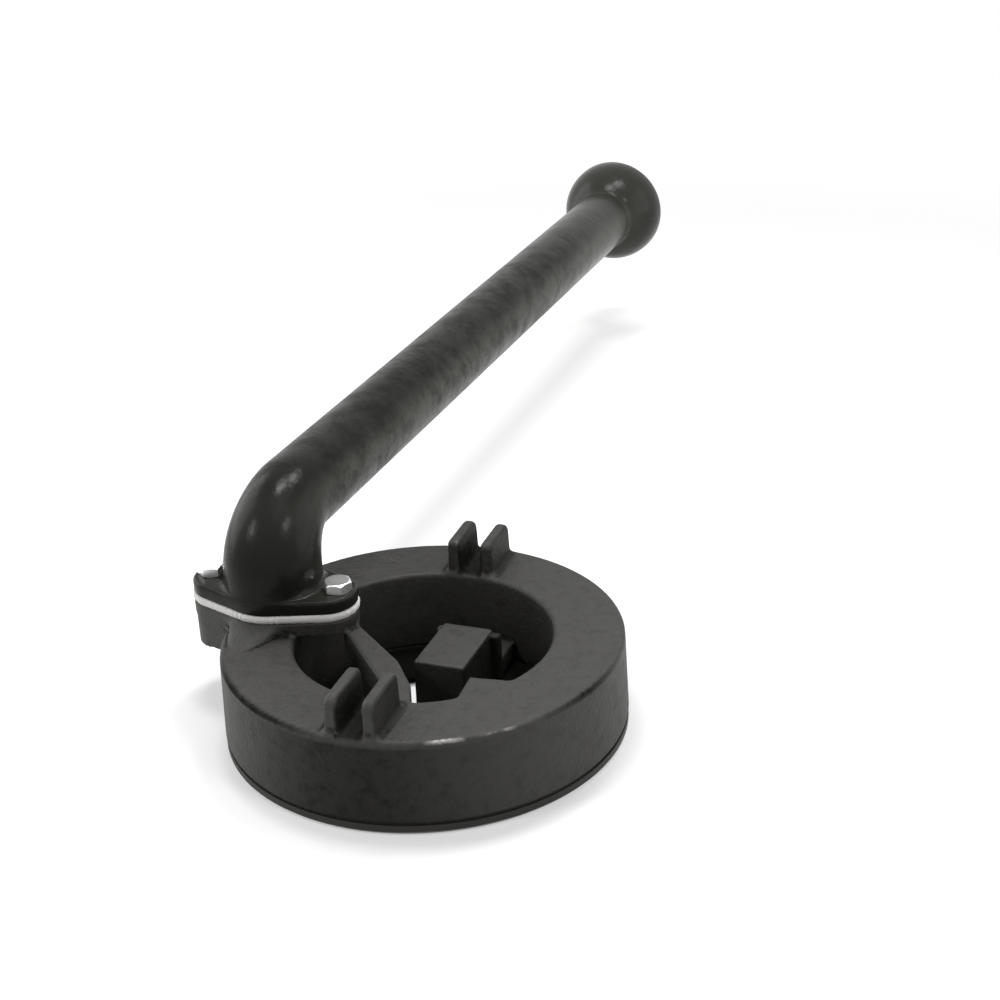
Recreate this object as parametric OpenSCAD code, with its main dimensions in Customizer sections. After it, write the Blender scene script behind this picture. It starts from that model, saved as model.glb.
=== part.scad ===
// Cast-iron ring gas burner with a bolted-on elbow mixing tube.
// It lies flame side down: the port plate is on the floor and the tube runs level above it.
// Origin: centre of the port plate's face on the floor. +Z is up, +Y runs along the tube.

/* [Ring] */
// Radius of the ring at its top edge
ring_r = 100; // [98:0.5:102]
// How much further the wall stands out at its foot
ring_flare = 1.6; // [0:0.2:3]
// Height of the ring, with its port plate
ring_h = 48.5; // [46:0.5:52]
// Radius of the opening through the ring
open_r = 64.5; // [63:0.5:66]
// Radius of the gas chamber's inner wall
chamber_in_r = 73.5; // [72:0.5:74]
// Radius of the gas chamber's outer wall
chamber_out_r = 90.5; // [90:0.5:92]
// Thickness of the roof over the gas chamber
roof_t = 10.5; // [8:0.5:12]

/* [Port plate] */
// Thickness of the plate at its rim
plate_t = 5; // [4:0.5:6]
// Height to which the ported ring stands up into the chamber
port_depth = 14; // [10:1:18]
// Radius of the hole in the middle of the plate
plate_hole_r = 33; // [30:1:36]
// Number of flame ports in each row
port_count = 36; // [24:12:48]
// Radius of one flame port
port_r = 1.5; // [1:0.1:1.8]

/* [Lugs and stay] */
// Height of a lug above the ring
lug_h = 18; // [12:1:20]
// Thickness of a lug
lug_t = 7.5; // [6:0.5:9]
// Width of the slot between two lugs
slot_w = 10.5; // [8:0.5:12]
// Angle by which the two pairs of lugs stand off the tube's line, in degrees
lug_turn = 2; // [-5:0.5:5]
// Distance of the lugs' middle line from the ring's centre
lug_x = 1.5; // [-4:0.5:4]
// Width of the stay across the opening
stay_w = 13; // [9:0.5:14]
// Depth of the stay
stay_h = 14; // [10:1:18]

/* [Inlet flange] */
// Distance from the ring's centre to the inlet
inlet_x = 80.5; // [80:0.5:82]
// Distance between the two bolts
bolt_span = 71; // [70:0.5:72]
// Length of the flange
flange_l = 89; // [88:0.5:92]
// Width of the flange
flange_w = 51; // [50.5:0.5:56]
// Radius of the flange's two ends
flange_end_r = 16; // [15:0.5:18]
// How far the boss stands above the ring
boss_rise = 6.5; // [5:0.5:9]
// Depth of the boss where it overhangs the ring's wall
boss_h = 20; // [16:1:22]
// Thickness of the gasket
gasket_t = 4.5; // [2:0.5:5]
// Thickness of the tube's flange
flange_t = 7; // [6:0.5:8]

/* [Mixing tube] */
// Height of the tube's axis above the ring
tube_rise = 53; // [52:0.5:56]
// Radius of the upright part below the elbow
elbow_r = 24.8; // [23:0.2:25]
// Radius to which the elbow bends along its centre line
bend_r = 30; // [29:0.5:32]
// Radius of the tube where it leaves the elbow
tube_r = 21.4; // [20.8:0.2:22.8]
// Radius of the tube where it meets the bell
tube_end_r = 21.8; // [20.8:0.2:22.8]
// Radius of the way through the elbow and the tube
tube_bore_r = 18.6; // [17:0.1:18.8]
// Radius of the narrow throat in front of the bell
throat_r = 17; // [15:0.5:17.5]
// Distance from the inlet to the centre of the bell
bell_y = 595; // [560:1:620]
// Radius of the bell
bell_r = 38; // [38:0.5:41]
// Thickness of the bell's wall
bell_t = 3.2; // [3:0.1:3.6]

/* [Air shutter] */
// Inner radius of the air windows
window_in_r = 14.5; // [14:0.5:16]
// Outer radius of the air windows
window_out_r = 28; // [26:0.5:29]
// Radius of the shutter
shutter_r = 35.4; // [35:0.2:36]
// How far the shutter turns from open to shut, in degrees
shutter_travel = 45; // [30:1:45]

/* [Hidden] */
$fn = 96;
ring_fn = 180;
soft_fn = 32;
// Clearance round a screw thread, which is drawn as a plain cylinder
thread_gap = 0.04;
// How far a cutting shape runs past what it cuts
past = 1;

// Heights
plate_gasket_t = 0.8;
body_z = plate_t + plate_gasket_t;
roof_z = ring_h - roof_t;
boss_z = ring_h + boss_rise;
flange_z = boss_z + gasket_t;
flange_top = flange_z + flange_t;
axis_z = ring_h + tube_rise;

// Ring casting
chamber_mid_r = (chamber_in_r + chamber_out_r) / 2;
wall_draft = 1.2;
ring_edge = 1.5;
chamber_corner = 5;
inlet_r = 14.5;
swell_c = [82, 81.5];
swell_foot = [17, 42];
swell_top = [21, 24];
inlet_foot_r = 8.6;

// Screws and dowels of the port plate
screw_count = 6;
screw_turn = 15;
screw_circle_r = 86;
screw_r = 2.5;
screw_top = 26;
screw_sunk = 0.2;
sink_r = 5.2;
sink_h = 2.9;
pillar_r = 6;
dowel_r = 1.5;
dowel_turn = 45;
dowel_circle_r = 96;
dowel_z = [2, 11];

// Rows of flame ports
row_r = [chamber_mid_r - 4.6, chamber_mid_r + 3.4];

// Lugs
lug_y = [open_r + 1.5, ring_r - 3];
lug_round = 5;

// Pad, bridge and web inside the opening
pad_x = [3, 28];
pad_y = [-21, 20];
pad_top = ring_h - 4;
bridge_w = 20;
bridge_top = 16;
web_t = 8;
web_corners = [[37, -33], [62, -24], [64, -30], [50, -50], [40, -56]];
// The stay's centre line is where x + y has this value
stay_line = -41.6;
stay_start = 28;

// Flange bolts
bolt_r = 4;
bolt_hole_r = 4.3;
bolt_head_h = 5.3;
bolt_head_flats = 13;
bolt_len = 22;
gasket_proud = 0.9;

// Bell. Lengths along the tube are distances from the inlet.
bell_in_r = bell_r - bell_t;
mouth_len = 3;
mouth_y = bell_y + mouth_len;
mouth_in_r = 33.4;
elbow_steps = 14;
elbow_sides = 64;
elbow_step = 0.12;
side_step = 0.05;
throat_start = 505;
throat_end = 540;

// What is mounted in the bell's mouth
plate_r = 35.6;
bell_screw_circle_r = 31.8;
bell_screw_r = 2;
bell_screw_len = 10;
bell_lug_r = 4.4;
stop_pin_r = 1.4;
stop_pin_turn = 150;
shutter_y = mouth_y + 0.3;
shutter_t = 2;
shutter_end = shutter_y + shutter_t;
tab_h = 9;
tab_w = 9;
journal_r = 10;
journal_gap = 0.06;
journal_end = shutter_end + 1.4;
washer_t = 1.2;
nut_y = journal_end + washer_t;
nut_t = 7;
stem_r = 8;
stem_end = 640;
gas_thread_r = 5.9;
gas_thread_len = 12;
gas_way_r = 2.5;
nose_r = 7;
nose_y = 580;
injector_washer_t = 1;

// ---- shapes that several pieces share ----

// A point on a circle
function polar(r, a) = [r * cos(a), r * sin(a)];

// Points along an arc, both ends included
function arc(c, r, a0, a1, n) = [for (i = [0:n]) c + polar(r, a0 + (a1 - a0) * i / n)];

// Outline of the flange: a round end about each bolt, a round middle, and straight sides.
// The sides are set in a little from the circles' tangents, so that they meet them in clean corners.
module flange_outline(proud) {
    end_x = flange_l / 2 - flange_end_r;
    taper = asin((flange_w / 2 - flange_end_r) / end_x);
    mid_r = flange_w / 2 + proud;
    end_r = flange_end_r + proud;
    mid = polar(mid_r - side_step, 90 - taper);
    end = polar(end_r - side_step, 90 - taper) + [end_x, 0];
    circle(mid_r);
    for (s = [-1, 1]) translate([s * end_x, 0]) circle(end_r);
    polygon([
        end, mid, [-mid[0], mid[1]], [-end[0], end[1]],
        -end, -mid, [mid[0], -mid[1]], [end[0], -end[1]]
    ]);
}

// A plate with the flange's outline, standing on the inlet's axis
module flange_slab(z0, z1, proud = 0) {
    translate([-inlet_x, 0, z0]) linear_extrude(z1 - z0) flange_outline(proud);
}

// Puts its children at both bolts of the inlet flange
module at_bolts() {
    for (s = [-1, 1]) translate([s * bolt_span / 2 - inlet_x, 0, 0]) children();
}

// Puts its children at the screws of the port plate
module at_plate_screws() {
    for (i = [0:screw_count - 1]) rotate([0, 0, screw_turn + i * 360 / screw_count])
        translate([screw_circle_r, 0, 0]) children();
}

// Puts its children at the two dowels of the port plate
module at_dowels() {
    for (a = [0, 180]) rotate([0, 0, dowel_turn + a]) translate([dowel_circle_r, 0, 0]) children();
}

// Lays a shape that is drawn along +Z down along the tube
module along_tube() {
    translate([-inlet_x, 0, axis_z]) rotate([-90, 0, 0]) children();
}

// A round bar on the tube's axis, from y0 to y1
module tube_bar(y0, y1, r0, r1) {
    along_tube() translate([0, 0, y0]) cylinder(h = y1 - y0, r1 = r0, r2 = r1);
}

// A hexagonal bar on the tube's axis, from y0 to y1
module tube_hex(y0, y1, flats) {
    along_tube() translate([0, 0, y0]) cylinder(h = y1 - y0, r = flats / sqrt(3), $fn = 6);
}

// Puts its children at the four screws in the bell's mouth, between the air windows
module at_bell_screws() {
    along_tube() for (i = [0:3]) rotate([0, 0, i * 90])
        translate([bell_screw_circle_r, 0, 0]) children();
}

// The air windows, which leave a web a little wider than themselves
module windows() {
    half = 20.5;
    for (i = [0:3]) rotate(45 + i * 90) polygon(concat(
        arc([0, 0], window_out_r, -half, half, 12),
        arc([0, 0], window_in_r, half - 3, 3 - half, 8)
    ));
}

// ---- the ring ----

// Section of the ring's casting, to be turned about the ring's axis
module ring_section() {
    foot_r = ring_r + ring_flare * (1 - body_z / ring_h);
    edge_z = ring_h - ring_edge;
    corner_z = roof_z - chamber_corner;
    difference() {
        polygon(concat(
            [[open_r - wall_draft, body_z], [foot_r, body_z]],
            arc([ring_r - ring_edge, edge_z], ring_edge, 0, 90, 5),
            arc([open_r + ring_edge, edge_z], ring_edge, 90, 180, 5)
        ));
        polygon(concat(
            [[chamber_in_r, body_z - past], [chamber_out_r, body_z - past]],
            arc([chamber_out_r - chamber_corner, corner_z], chamber_corner, 0, 90, 5),
            arc([chamber_in_r + chamber_corner, corner_z], chamber_corner, 90, 180, 5)
        ));
    }
}

// One lug along Y: upright at both ends, with its outer top corner rounded
module lug() {
    inner_round = 2;
    lug_top = ring_h + lug_h;
    rotate([90, 0, 90]) translate([0, 0, -lug_t / 2]) linear_extrude(lug_t) polygon(concat(
        [[lug_y[0], ring_h - 2], [lug_y[1], ring_h - 2]],
        arc([lug_y[1] - lug_round, lug_top - lug_round], lug_round, 0, 90, 6),
        arc([lug_y[0] + inner_round, lug_top - inner_round], inner_round, 90, 180, 4)
    ));
}

// The raised boss that takes the tube's flange. Outside the ring's wall it is deeper,
// and on the ring it swells along the chamber below it.
module inlet_boss() {
    flange_slab(ring_h - 1, boss_z);
    intersection() {
        flange_slab(boss_z - boss_h, boss_z);
        translate([-inlet_x - bolt_span, -bolt_span / 2, 0]) cube([bolt_span - 10, bolt_span, boss_z]);
    }
    hull() {
        translate([-swell_c[0], 0, ring_h - 3]) scale([swell_foot[0], swell_foot[1], 1])
            cylinder(h = 3, r = 1, $fn = soft_fn);
        translate([-swell_c[1], 0, boss_z - 2]) scale([swell_top[0], swell_top[1], 1])
            cylinder(h = 1, r = 1, $fn = soft_fn);
    }
}

// The space inside the ring's wall
module ring_opening() {
    edge_z = ring_h - ring_edge;
    translate([0, 0, body_z]) cylinder(h = edge_z - body_z, r1 = open_r - wall_draft, r2 = open_r, $fn = ring_fn);
    translate([0, 0, edge_z - past]) cylinder(h = ring_edge + past, r = open_r, $fn = ring_fn);
}

// The flat-topped stay that ties the boss to the far side of the opening. Like the pad it is
// part of the ring's casting, and a node of its own so that collision leaves the opening free.
module ring_stay() {
    color("#2f3032") difference() {
        intersection() {
            translate([stay_line / 2, stay_line / 2, ring_h - stay_h]) rotate([0, 0, -45])
                translate([-stay_start, -stay_w / 2, 0]) cube([open_r + stay_start, stay_w, stay_h]);
            ring_opening();
        }
        flange_slab(ring_h - 1, boss_z);
        at_bolts() translate([0, 0, boss_z - bolt_len])
            cylinder(h = bolt_len, r = bolt_r + thread_gap);
    }
}

// The pad in the opening, and the bridge below it that crosses the opening
module ring_pad() {
    pad_w = pad_x[1] - pad_x[0];
    color("#2f3032") {
        intersection() {
            translate([pad_x[0] + (pad_w - bridge_w) / 2, -open_r, body_z])
                cube([bridge_w, open_r * 2, bridge_top - body_z]);
            ring_opening();
        }
        translate([pad_x[0], pad_y[0], body_z])
            cube([pad_w, pad_y[1] - pad_y[0], pad_top - body_z]);
    }
}

// The flush web in one corner of the opening
module corner_web() {
    translate([0, 0, ring_h - web_t]) linear_extrude(web_t) polygon(web_corners);
}

// The way in for the gas: round under the flange, narrower where it opens into the chamber
module inlet_way() {
    funnel_z = roof_z - chamber_corner;
    funnel_h = roof_t + 2;
    translate([-inlet_x, 0, funnel_z]) {
        cylinder(h = funnel_h, r1 = inlet_foot_r, r2 = inlet_r);
        translate([0, 0, funnel_h]) cylinder(h = boss_z - funnel_z, r = inlet_r);
    }
}

module ring_body() {
    color("#2f3032") difference() {
        union() {
            rotate_extrude($fn = ring_fn) ring_section();
            at_plate_screws() translate([0, 0, port_depth + 0.3])
                cylinder(h = roof_z - port_depth, r = pillar_r, $fn = 48);
            translate([lug_x, 0, 0]) rotate([0, 0, lug_turn])
                for (end = [0, 180], s = [-1, 1]) rotate([0, 0, end])
                    translate([s * (slot_w + lug_t) / 2, 0, 0]) lug();
            inlet_boss();
            corner_web();
        }
        inlet_way();
        at_bolts() translate([0, 0, boss_z - bolt_len])
            cylinder(h = bolt_len + past, r = bolt_r + thread_gap);
        at_plate_screws() translate([0, 0, port_depth])
            cylinder(h = screw_top - port_depth + past, r = screw_r + thread_gap);
        at_dowels() translate([0, 0, body_z - past]) cylinder(h = dowel_z[1] - body_z + past, r = dowel_r);
    }
}

// ---- the flame side ----

module port_plate() {
    rim_r = ring_r + ring_flare - 0.4;
    fit = 0.35;
    chamfer = 1.5;
    hole_r = screw_r + 0.3;
    color("#3a3b3c") difference() {
        rotate_extrude($fn = ring_fn) polygon([
            [plate_hole_r + chamfer, 0], [rim_r - chamfer, 0], [rim_r, chamfer], [rim_r, plate_t],
            [chamber_out_r - fit, plate_t], [chamber_out_r - fit, port_depth],
            [chamber_in_r + fit, port_depth], [chamber_in_r + fit, plate_t],
            [plate_hole_r, plate_t], [plate_hole_r, chamfer]
        ]);
        flame_ports();
        at_plate_screws() translate([0, 0, -past]) {
            cylinder(h = port_depth + 2 * past, r = hole_r);
            cylinder(h = past + screw_sunk, r = sink_r);
            translate([0, 0, past + screw_sunk]) cylinder(h = sink_h - screw_sunk, r1 = sink_r, r2 = hole_r);
        }
        at_dowels() translate([0, 0, dowel_z[0]]) cylinder(h = plate_t, r = dowel_r);
    }
}

// Two staggered rows of ports. The outer row leaves out those that a screw takes the place of.
module flame_ports() {
    step = 360 / port_count;
    for (i = [0:port_count - 1]) {
        rotate([0, 0, i * step]) flame_port(row_r[0]);
        turn = (i + 0.5) * step;
        from_screw = abs((turn - screw_turn + 30) % 60 - 30);
        if (from_screw > step / 2) rotate([0, 0, turn]) flame_port(row_r[1]);
    }
}

module flame_port(at_r) {
    translate([at_r, 0, -past]) cylinder(h = port_depth + 2 * past, r = port_r, $fn = 16);
}

// A flat ring between the port plate and the casting
module plate_gasket(r_in, r_out) {
    translate([0, 0, plate_t]) difference() {
        cylinder(h = plate_gasket_t, r = r_out, $fn = ring_fn);
        translate([0, 0, -past]) cylinder(h = plate_gasket_t + 2 * past, r = r_in, $fn = ring_fn);
    }
}

module outer_plate_gasket() {
    color("#77787a") difference() {
        plate_gasket(chamber_out_r, ring_r);
        at_dowels() translate([0, 0, dowel_z[0]]) cylinder(h = plate_t + past, r = dowel_r);
    }
}

module inner_plate_gasket() {
    color("#77787a") plate_gasket(open_r, chamber_in_r);
}

module plate_screws() {
    cut_d = 1.2;
    cut_w = 1.2;
    color("#b9bab8") at_plate_screws() difference() {
        translate([0, 0, screw_sunk]) {
            cylinder(h = sink_h - 0.3, r1 = sink_r - 0.15, r2 = screw_r);
            cylinder(h = screw_top - screw_sunk, r = screw_r);
        }
        translate([-sink_r, -cut_w / 2, -past]) cube([sink_r * 2, cut_w, cut_d + past]);
    }
}

module plate_dowels() {
    color("#a8a9ab") at_dowels() translate([0, 0, dowel_z[0]])
        cylinder(h = dowel_z[1] - dowel_z[0], r = dowel_r);
}

// ---- the inlet joint ----

module flange_gasket() {
    color("#f2f1ec") difference() {
        flange_slab(boss_z, flange_z, gasket_proud);
        translate([-inlet_x, 0, boss_z - past]) cylinder(h = gasket_t + 2 * past, r = tube_bore_r);
        at_bolts() translate([0, 0, boss_z - past])
            cylinder(h = gasket_t + 2 * past, r = bolt_hole_r);
    }
}

// The heads' upper corners are rounded off by a cone
module flange_bolts() {
    corner_r = bolt_head_flats / sqrt(3);
    color("#d9d9d6") at_bolts() translate([0, 0, flange_top]) {
        intersection() {
            cylinder(h = bolt_head_h, r = corner_r, $fn = 6);
            translate([0, 0, -past]) cylinder(h = bolt_head_h + past, r1 = 10, r2 = 6.3);
        }
        translate([0, 0, -bolt_len]) cylinder(h = bolt_len + past, r = bolt_r);
    }
}

// ---- the mixing tube ----

// A round bar bent from upright over the inlet to level along +Y, and one degree on
module elbow_way(r) {
    translate([-inlet_x, bend_r, axis_z - bend_r]) rotate([90, 0, -90])
        rotate_extrude(angle = 91) translate([bend_r, 0]) circle(r);
}

// Radius of the elbow, which draws in from the upright part to the tube. It starts just inside
// the one, so that no two faces coincide, and ends just outside the other.
function elbow_r_at(turn) = tube_r + elbow_step + (elbow_r - tube_r - 2 * elbow_step) * pow(cos(turn), 2);

// One ring of points round the elbow. The first one lies a little way down in the upright part.
function elbow_ring(turn) = let (r = elbow_r_at(turn), sunk = turn == 0 ? 1 : 0) [
    for (j = [0:elbow_sides - 1]) let (a = 360 * j / elbow_sides, out = bend_r + r * cos(a))
        [r * sin(a) - inlet_x, bend_r - out * cos(turn), axis_z - bend_r - sunk + out * sin(turn)]
];

// The elbow's outside, lofted through its rings
module elbow_body() {
    // The second ring starts the bend just above the sunk one
    rings = [for (i = [0:elbow_steps]) elbow_ring(i == 1 ? 0.1 : 90 * i / elbow_steps)];
    n = elbow_sides;
    polyhedron(
        points = [for (ring = rings) each ring],
        faces = concat(
            [[for (j = [0:n - 1]) j]],
            [[for (j = [n - 1:-1:0]) elbow_steps * n + j]],
            [for (i = [0:elbow_steps - 1], j = [0:n - 1])
                [i * n + j, (i + 1) * n + j, (i + 1) * n + (j + 1) % n, i * n + (j + 1) % n]]
        )
    );
}

// The flange, the upright part and the elbow. They, the tube and the bell are one casting, and
// three nodes so that collision leaves the way through them free.
module elbow() {
    riser_h = axis_z - bend_r - flange_z;
    color("#1d1e1f") difference() {
        union() {
            flange_slab(flange_z, flange_top);
            translate([-inlet_x, 0, flange_z]) cylinder(h = riser_h, r = elbow_r);
            elbow_body();
        }
        translate([-inlet_x, 0, flange_z - past]) cylinder(h = riser_h + past, r = tube_bore_r);
        elbow_way(tube_bore_r);
        at_bolts() translate([0, 0, flange_z - past])
            cylinder(h = flange_t + 2 * past, r = bolt_hole_r);
    }
}

// The straight tube, from the elbow to where its bore starts to narrow
module mixing_tube() {
    color("#1d1e1f") along_tube() rotate_extrude() polygon([
        [tube_bore_r, bend_r], [tube_r, bend_r], [tube_end_r, throat_start], [tube_bore_r, throat_start]
    ]);
}

// Outside of the bell and its neck: distance from the axis against distance along it
module bell_outline() {
    fillet = 4;
    // Where a fillet of that size touches the neck's side and the ball of the bell
    fillet_back = sqrt(pow(bell_r + fillet, 2) - pow(tube_end_r + fillet, 2));
    fillet_y = bell_y - fillet_back;
    meet = atan2(fillet_back, tube_end_r + fillet);
    polygon(concat(
        [[0, throat_start], [tube_end_r, throat_start]],
        arc([tube_end_r + fillet, fillet_y], fillet, 180, 180 - meet, 5),
        arc([0, bell_y], bell_r, -meet, 0, 16),
        [[bell_r, mouth_y - 1], [bell_r - 1, mouth_y], [0, mouth_y]]
    ));
}

// Inside of the bell, with the throat that leads into it
module bell_hollow() {
    dome_y = bell_y - sqrt(pow(bell_in_r, 2) - pow(mouth_in_r, 2));
    dome_turn = acos(mouth_in_r / bell_in_r);
    neck_r = throat_r + 2;
    neck_turn = acos(neck_r / bell_in_r);
    polygon(concat(
        [[0, throat_start - past], [tube_bore_r, throat_start - past], [tube_bore_r, throat_start]],
        [[throat_r, throat_end - 15], [throat_r, throat_end]],
        arc([0, bell_y], bell_in_r, -neck_turn, -dome_turn, 12),
        [[mouth_in_r, dome_y + 1], [mouth_in_r, bell_y], [plate_r + 0.2, bell_y]],
        [[plate_r + 0.2, mouth_y + past], [0, mouth_y + past]]
    ));
}

module bell() {
    bell_lug_y = mouth_y - mouth_len - bell_screw_len - 1;
    color("#1d1e1f") difference() {
        along_tube() rotate_extrude() bell_outline();
        difference() {
            along_tube() rotate_extrude() bell_hollow();
            at_bell_screws() translate([0, 0, bell_lug_y])
                cylinder(h = bell_y - bell_lug_y, r = bell_lug_r, $fn = 32);
        }
        at_bell_screws() translate([0, 0, bell_lug_y + 1])
            cylinder(h = bell_screw_len + mouth_len, r = bell_screw_r + thread_gap, $fn = 32);
    }
}

// ---- the bell's mouth ----

module bell_plate() {
    color("#2a2b2c") difference() {
        along_tube() translate([0, 0, bell_y]) difference() {
            linear_extrude(mouth_len) difference() {
                circle(plate_r);
                windows();
                circle(journal_r + thread_gap);
                rotate(stop_pin_turn) translate([bell_screw_circle_r, 0]) circle(stop_pin_r, $fn = 32);
            }
        }
        at_bell_screws() translate([0, 0, bell_y - past]) {
            cylinder(h = mouth_len + 2 * past, r = bell_screw_r + 0.2, $fn = 32);
            translate([0, 0, past + mouth_len - 2]) cylinder(h = 2 + past, r1 = 2, r2 = 5, $fn = 32);
        }
    }
}

module bell_plate_screws() {
    color("#c9c9c6") at_bell_screws() difference() {
        union() {
            translate([0, 0, bell_y - bell_screw_len + 1]) cylinder(h = bell_screw_len, r = bell_screw_r, $fn = 32);
            translate([0, 0, mouth_y - 2]) cylinder(h = 1.9, r1 = 1.9, r2 = 3.7, $fn = 32);
        }
        translate([-5, -0.4, mouth_y - 0.9]) cube([10, 0.8, 2]);
    }
}

// The disc that opens and shuts the air windows, with the slot that stops it at both ends
module air_shutter() {
    slot_r = stop_pin_r + 0.3;
    slot_in = bell_screw_circle_r - slot_r;
    slot_out = bell_screw_circle_r + slot_r;
    slot_from = stop_pin_turn - shutter_travel;
    color("#4a4b4d") along_tube() translate([0, 0, shutter_y]) {
        linear_extrude(shutter_t) difference() {
            circle(shutter_r);
            windows();
            circle(journal_r + journal_gap);
            polygon(concat(
                arc([0, 0], slot_out, slot_from, stop_pin_turn, 12),
                arc([0, 0], slot_in, stop_pin_turn, slot_from, 12)
            ));
            for (a = [slot_from, stop_pin_turn])
                rotate(a) translate([bell_screw_circle_r, 0]) circle(slot_r, $fn = 32);
        }
        shutter_tab();
    }
}

// The finger tab, bent up square from the shutter's edge
module shutter_tab() {
    tab_r = shutter_r - 2.6;
    rotate([0, 0, 80]) translate([tab_r, -tab_w / 2, 0]) difference() {
        cube([1.8, tab_w, tab_h]);
        for (s = [0, 1]) translate([-past, s * tab_w, tab_h]) rotate([0, 90, 0])
            cylinder(h = 2 + 2 * past, r = 2, $fn = 4);
    }
}

module shutter_stop_pin() {
    color("#c9c9c6") along_tube() rotate([0, 0, stop_pin_turn])
        translate([bell_screw_circle_r, 0, bell_y]) cylinder(h = shutter_end + 0.8 - bell_y, r = stop_pin_r, $fn = 32);
}

// The dished spring washer that presses the shutter against the bell
module wave_washer() {
    low = shutter_end + 0.1;
    high = journal_end - 0.02;
    color("#b5b6b8") along_tube() rotate_extrude() polygon([
        [10.4, high - 0.5], [15, low], [15, low + 0.5], [10.4, high]
    ]);
}

module shutter_washer() {
    color("#c9c9c6") difference() {
        tube_bar(journal_end, nut_y, 15.5, 15.5);
        tube_bar(journal_end - past, nut_y + past, stem_r + 0.2, stem_r + 0.2);
    }
}

module lock_nut() {
    flats = 24;
    color("#b8903c") difference() {
        intersection() {
            tube_hex(nut_y, nut_y + nut_t, flats);
            tube_bar(nut_y, nut_y + nut_t, flats / 2 + 2.4, flats / 2 + 0.6);
        }
        tube_bar(nut_y - past, nut_y + nut_t + past, stem_r + thread_gap, stem_r + thread_gap);
    }
}

module injector_holder() {
    hex_y = bell_y - 7;
    flats_y = stem_end - 9;
    flats_w = 14;
    color("#b8903c") difference() {
        union() {
            tube_bar(nose_y, hex_y, nose_r, nose_r);
            tube_hex(hex_y, bell_y, 24);
            tube_bar(bell_y, journal_end, journal_r, journal_r);
            tube_bar(journal_end, stem_end - 1, stem_r, stem_r);
            tube_bar(stem_end - 1, stem_end, stem_r, stem_r - 0.8);
        }
        tube_bar(nose_y - past, stem_end - past, gas_way_r, gas_way_r);
        tube_bar(nose_y - past, nose_y + 8, 4 + thread_gap, 4 + thread_gap);
        tube_bar(stem_end - gas_thread_len, stem_end + past, gas_thread_r, gas_thread_r);
        along_tube() for (s = [-1, 1])
            translate([s * (flats_w / 2 + 5) - 5, -stem_r - past, flats_y])
                cube([10, 2 * stem_r + 2 * past, 20]);
    }
}

// The brass jet that blows the gas into the throat
module injector() {
    hex_end = nose_y - injector_washer_t;
    tip_y = hex_end - 9;
    color("#c9a050") difference() {
        union() {
            tube_bar(nose_y - injector_washer_t, nose_y + 7, 4, 4);
            tube_hex(hex_end - 5, hex_end, 11);
            tube_bar(tip_y, hex_end - 5, 2.4, 4.4);
        }
        tube_bar(tip_y + 2.5, nose_y + 8, 1.8, 1.8);
        tube_bar(tip_y - past, tip_y + 3, 0.6, 0.6);
    }
}

module injector_washer() {
    color("#b87333") difference() {
        tube_bar(nose_y - injector_washer_t, nose_y, 6.4, 6.4);
        tube_bar(nose_y - injector_washer_t - past, nose_y + past, 4.1, 4.1);
    }
}

ring_body();
ring_stay();
ring_pad();
port_plate();
outer_plate_gasket();
inner_plate_gasket();
plate_screws();
plate_dowels();
flange_gasket();
elbow();
mixing_tube();
bell();
flange_bolts();
bell_plate();
bell_plate_screws();
air_shutter();
shutter_stop_pin();
wave_washer();
shutter_washer();
lock_nut();
injector_holder();
injector();
injector_washer();
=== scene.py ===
from functools import cache
from itertools import product
from math import inf, pi, radians, sqrt

import bpy
import numpy as np
from bpy.props import FloatProperty, FloatVectorProperty, PointerProperty
from bpy.types import Operator, Panel, PropertyGroup
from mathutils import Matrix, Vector


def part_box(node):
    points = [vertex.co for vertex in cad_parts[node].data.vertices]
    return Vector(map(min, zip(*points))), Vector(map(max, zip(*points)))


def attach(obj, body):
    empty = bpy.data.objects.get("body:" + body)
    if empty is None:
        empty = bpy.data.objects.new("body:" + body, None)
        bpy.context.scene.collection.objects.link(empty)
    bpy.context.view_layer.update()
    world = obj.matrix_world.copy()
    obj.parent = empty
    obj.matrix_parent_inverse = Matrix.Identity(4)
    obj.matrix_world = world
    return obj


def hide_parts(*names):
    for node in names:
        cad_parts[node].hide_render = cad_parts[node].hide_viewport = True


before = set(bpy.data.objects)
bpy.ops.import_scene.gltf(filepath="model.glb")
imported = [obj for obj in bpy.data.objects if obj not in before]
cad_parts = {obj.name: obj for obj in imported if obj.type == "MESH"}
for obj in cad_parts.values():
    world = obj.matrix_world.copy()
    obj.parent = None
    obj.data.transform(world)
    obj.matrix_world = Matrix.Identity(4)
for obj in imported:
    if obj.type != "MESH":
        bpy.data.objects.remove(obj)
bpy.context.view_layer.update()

bl_info = {
    "name": "Ring gas burner",
    "version": (1, 0, 0),
    "blender": (4, 5, 0),
    "location": "View3D > Sidebar > Burner",
    "description": "Builds a cast-iron ring gas burner with its mixing tube round its CAD frame",
    "category": "Add Mesh",
}

MM = 0.001
RING_TOP = 48.5  # height of the ring's top face, in millimetres

# Places that come from the CAD frame
RING_LOW, RING_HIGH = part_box("ring_body")
GASKET_LOW, GASKET_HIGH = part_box("flange_gasket")
MOUTH_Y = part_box("bell")[1].y
HOLDER_LOW, HOLDER_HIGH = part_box("injector_holder")
NUT_LOW, NUT_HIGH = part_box("lock_nut")
INLET_X = (GASKET_LOW.x + GASKET_HIGH.x) / 2
AXIS_Z = (NUT_LOW.z + NUT_HIGH.z) / 2


def length(name, text, millimetres):
    """A size that a user may change"""
    return FloatProperty(name=name, description=text, default=millimetres * MM, min=0.0,
                         precision=4, subtype="DISTANCE", unit="LENGTH")


def colour(name, text, rgb):
    """A colour that a user may change"""
    return FloatVectorProperty(name=name, description=text, default=rgb, size=3,
                               min=0.0, max=1.0, subtype="COLOR")


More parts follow.
